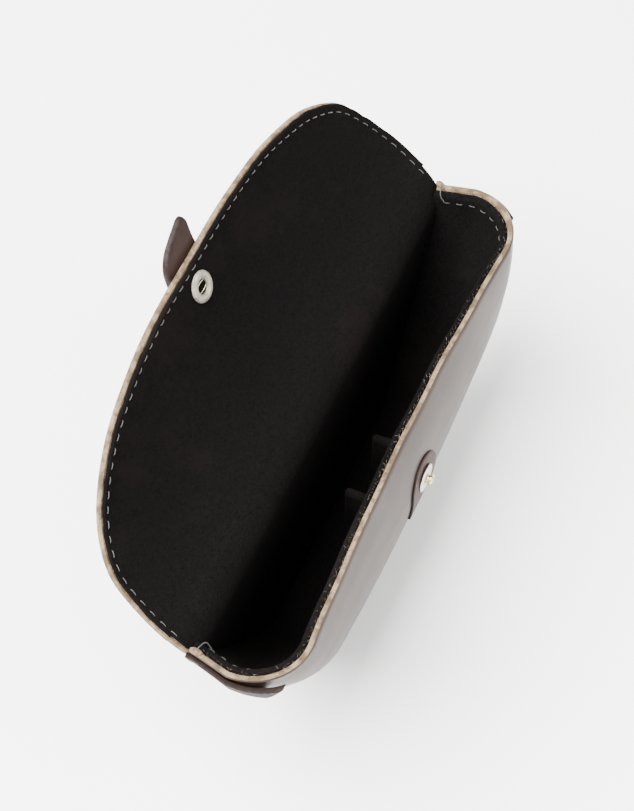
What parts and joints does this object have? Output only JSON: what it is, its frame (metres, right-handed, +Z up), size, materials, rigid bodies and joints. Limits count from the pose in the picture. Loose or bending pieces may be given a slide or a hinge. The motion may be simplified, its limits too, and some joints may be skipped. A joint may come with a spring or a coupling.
{
  "type": "glasses case",
  "caption": "Moulded leather glasses case with a velvet-lined pocket, nose ribs and a hinged lid whose front folds down onto a press stud by a pull tab.",
  "frame": {"origin": "centre of the flat base that the case stands on", "axes": "+X along the case, +Y to the back where the lid hinges, +Z up; the press stud faces -Y"},
  "size_m": [0.1622, 0.072, 0.101],
  "materials": {
    "brown_leather": "smooth vegetable-tanned leather, waxed dark brown, raw tan cut edges",
    "dark_leather": "thick dark brown leather with burnished edges",
    "velvet": "short black pile",
    "thread": "waxed grey-green sewing thread",
    "nickel": "worn nickel plating with a warm tone"
  },
  "bodies": {
    "case_body": {"front_shell": "brown_leather", "back_panel": "brown_leather", "end_wing_left": "brown_leather", "end_wing_right": "brown_leather", "hinge_fold": "brown_leather", "body_lining": "velvet", "back_lining": "velvet", "nose_rib_left": "velvet", "nose_rib_right": "velvet", "stud_patch": "dark_leather", "snap_stud": "nickel", "stud_rivet": "nickel", "rim_stitching": "thread"},
    "lid": {"lid_leather": "brown_leather", "lid_lining": "velvet", "lid_stitching": "thread"},
    "lid_flap": {"flap_leather": "brown_leather", "flap_lining": "velvet", "flap_stitching": "thread", "pull_tab": "dark_leather", "snap_socket": "nickel", "snap_cap": "nickel"}
  },
  "joints": [
    {"name": "lid_hinge", "type": "hinge", "parent": "case_body", "child": "lid", "pos_m": [0, 0.0084, 0.058], "axis": [1, 0, 0], "range_deg": [-25, 146.2]},
    {"name": "flap_bend", "type": "hinge", "parent": "lid", "child": "lid_flap", "pos_m": [0, 0.03096, 0.07292], "axis": [1, 0, 0], "range_deg": [-4, 55.1]}
  ]
}
